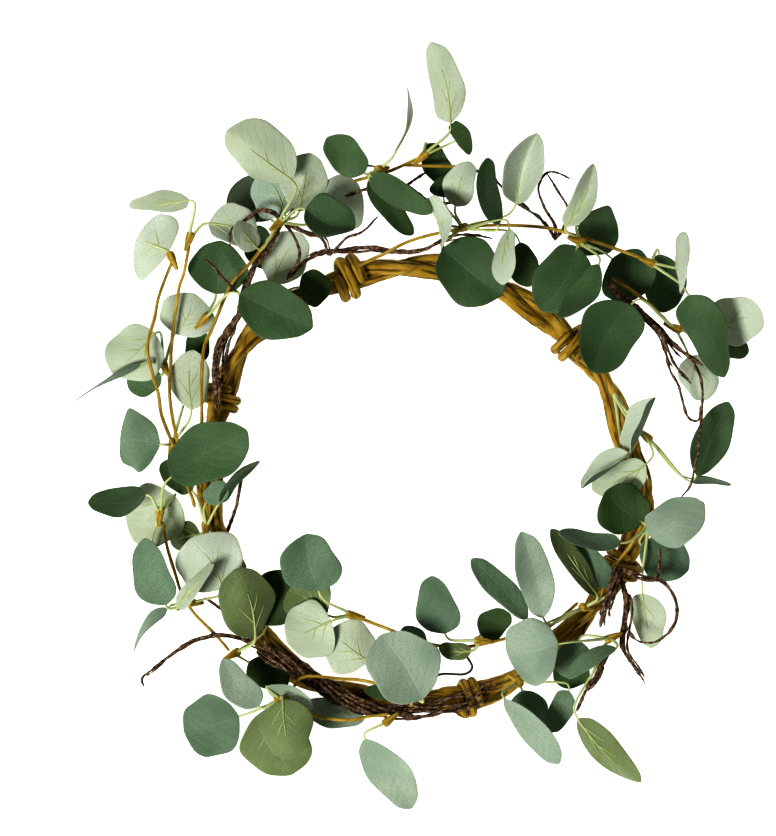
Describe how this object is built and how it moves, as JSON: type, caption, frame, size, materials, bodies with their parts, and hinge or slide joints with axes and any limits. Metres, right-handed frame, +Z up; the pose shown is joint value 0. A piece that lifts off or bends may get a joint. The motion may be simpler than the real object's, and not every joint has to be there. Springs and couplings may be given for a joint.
{
  "type": "flower crown",
  "caption": "Head crown of artificial eucalyptus: a round hoop of twisted paper-covered vine with wrap knots, wired leaf sprigs and thin dark twigs around an open centre.",
  "frame": {"origin": "middle of the head opening, on the surface that the crown rests on", "axes": "+Z up through the head opening when the crown lies flat; +Y towards the tallest leaf; +X to the right seen from above"},
  "size_m": [0.2948, 0.3288, 0.0675],
  "materials": {
    "vine_paper": "matt creased paper wrap over a vine core",
    "stem_tape": "matt paper tape wound over wire",
    "twig_bark": "rough matt dark bark",
    "binding_wire": "satin black lacquer",
    "leaf_dark": "stiffened cloth, dark green",
    "leaf_teal": "stiffened cloth, blue green",
    "leaf_pale": "stiffened cloth, pale sage"
  },
  "bodies": {
    "crown": {"hook_wire": "binding_wire", "knot_bottom": "vine_paper", "knot_left": "vine_paper", "knot_right_lower": "vine_paper", "knot_right_upper": "vine_paper", "knot_top_left": "vine_paper", "sprig_bottom_front": "leaf_teal", "sprig_bottom_inner": "leaf_teal", "sprig_bottom_left": "leaf_teal", "sprig_bottom_mid": "leaf_pale", "sprig_bottom_right": "leaf_teal", "sprig_left_big": "leaf_teal", "sprig_left_inner": "leaf_dark", "sprig_left_low": "leaf_teal", "sprig_left_mid": "leaf_pale", "sprig_left_shadow": "leaf_dark", "sprig_left_top": "leaf_pale", "sprig_left_upper": "leaf_dark", "sprig_lower_left": "leaf_pale", "sprig_lower_left_inner": "leaf_pale", "sprig_lower_right_inner": "leaf_teal", "sprig_lower_right_mid": "leaf_teal", "sprig_right_inner": "leaf_pale", "sprig_right_lower": "leaf_dark", "sprig_right_mid": "leaf_pale", "sprig_right_outer": "leaf_dark", "sprig_right_top": "leaf_dark", "sprig_top_inner": "leaf_dark", "sprig_top_left": "leaf_pale", "sprig_top_mid": "leaf_dark", "sprig_top_right": "leaf_dark", "stem_bottom_front": "stem_tape", "stem_bottom_left": "stem_tape", "stem_left_curl": "stem_tape", "stem_left_inner": "stem_tape", "stem_left_outer": "stem_tape", "stem_lower_left": "stem_tape", "stem_right_lower": "stem_tape", "stem_right_upper": "stem_tape", "stem_top": "stem_tape", "stem_top_upper": "stem_tape", "twig_bottom_right": "twig_bark", "twig_left_inner": "twig_bark", "twig_lower_right": "twig_bark", "twig_right": "twig_bark", "twig_rope": "twig_bark", "twig_top_cross": "twig_bark", "twig_top_left": "twig_bark", "twig_top_right": "twig_bark", "twig_upper": "twig_bark", "vine_bottom_left": "vine_paper", "vine_bottom_right": "vine_paper", "vine_left_lower": "vine_paper", "vine_left_upper": "vine_paper", "vine_right": "vine_paper", "vine_top": "vine_paper"},
    "leaf_left": {"sprig_left_curl": "leaf_pale"},
    "leaf_bottom": {"sprig_bottom_tail": "leaf_teal"},
    "leaf_bottom_right": {"sprig_bottom_right_tail": "leaf_pale"},
    "spray_top": {"sprig_top": "leaf_pale"}
  },
  "joints": [
    {"name": "bend_leaf_left", "type": "hinge", "parent": "crown", "child": "leaf_left", "pos_m": [-0.1127, 0.0958, 0.033], "axis": [0, 1, 0], "range_deg": [-8, 25]},
    {"name": "bend_leaf_bottom", "type": "hinge", "parent": "crown", "child": "leaf_bottom", "pos_m": [-0.0196, -0.1024, 0.0275], "axis": [-1, 0, 0], "range_deg": [-15, 30]},
    {"name": "bend_leaf_bottom_right", "type": "hinge", "parent": "crown", "child": "leaf_bottom_right", "pos_m": [0.071, -0.077, 0.025], "axis": [-1, 0, 0], "range_deg": [-12, 15]},
    {"name": "bend_spray_top", "type": "hinge", "parent": "crown", "child": "spray_top", "pos_m": [-0.005, 0.1393, 0.0426], "axis": [1, 0, 0], "range_deg": [-10, 30]}
  ]
}
